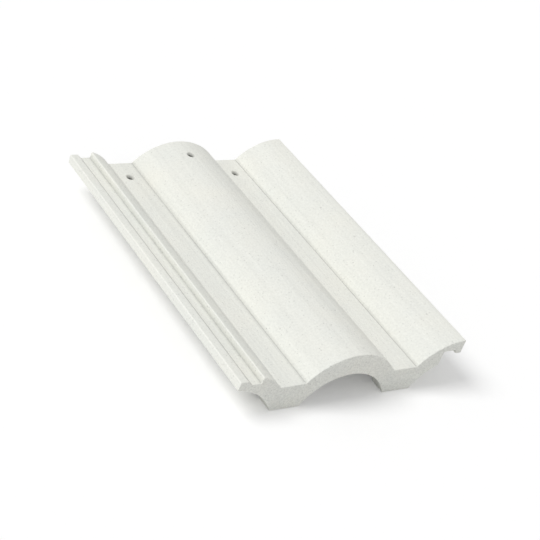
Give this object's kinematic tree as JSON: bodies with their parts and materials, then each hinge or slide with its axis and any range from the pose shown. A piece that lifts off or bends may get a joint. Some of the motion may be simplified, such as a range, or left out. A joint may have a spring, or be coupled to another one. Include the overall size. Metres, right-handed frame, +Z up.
{
  "type": "roof tile",
  "caption": "Interlocking concrete roof tile with rounded rolls, flat pans, an underlock and overlock at its sides, nail holes, nose weather bars and batten nibs.",
  "frame": {"origin": "centre of the tile's footprint on the floor it lies on, at the underside of the nose feet and batten nibs", "axes": "+X towards the overlock side, +Y from the nose up to the head, +Z up out of the weathered face"},
  "size_m": [0.314, 0.432, 0.0645],
  "materials": {
    "concrete": "plain off-white concrete, fine sand texture, matt"
  },
  "bodies": {
    "root": {"roof_tile": "concrete"}
  },
  "joints": []
}
